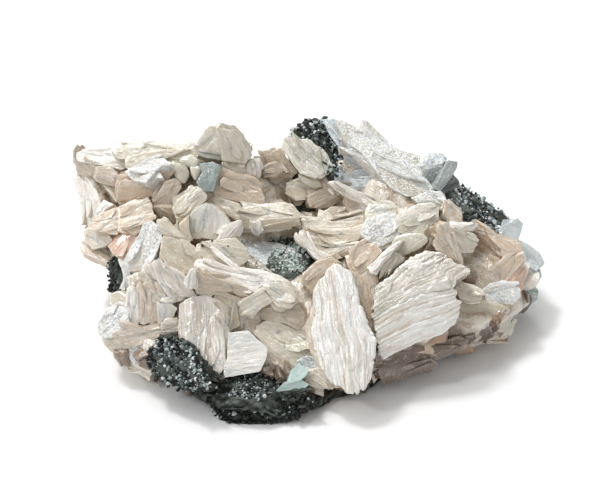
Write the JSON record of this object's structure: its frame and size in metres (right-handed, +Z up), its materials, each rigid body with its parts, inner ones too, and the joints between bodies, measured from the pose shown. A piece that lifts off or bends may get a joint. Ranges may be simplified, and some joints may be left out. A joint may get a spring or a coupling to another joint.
{
  "type": "stilbite crystal cluster on basalt",
  "caption": "Crust of pearly, intergrown stilbite blades and fans over dark basalt, with pale green apophyllite and grey quartz; it rests on a flat underside.",
  "frame": {"origin": "middle of the matrix's flat underside, on the surface it rests on", "axes": "+X along the specimen's length, to the right as seen from its front; +Y from the low front edge to the high rear ridge; +Z up"},
  "size_m": [0.1189, 0.0737, 0.0401],
  "materials": {
    "stilbite": "pearly to frosted mineral",
    "basalt": "dark granular rock",
    "mint_apophyllite": "translucent, glassy",
    "grey_apophyllite": "translucent, glassy",
    "clear_apophyllite": "clear, glassy",
    "striped_apophyllite": "finely striped, glassy",
    "quartz": "grey, translucent"
  },
  "bodies": {
    "root": {"stilbite_crystals": "stilbite", "basalt_matrix": "basalt", "apophyllite_front": "mint_apophyllite", "apophyllite_hollow": "grey_apophyllite", "apophyllite_rim": "clear_apophyllite", "apophyllite_side_upper": "grey_apophyllite", "apophyllite_side_lower": "grey_apophyllite", "apophyllite_ridge": "striped_apophyllite", "quartz_pocket": "quartz"}
  },
  "joints": []
}
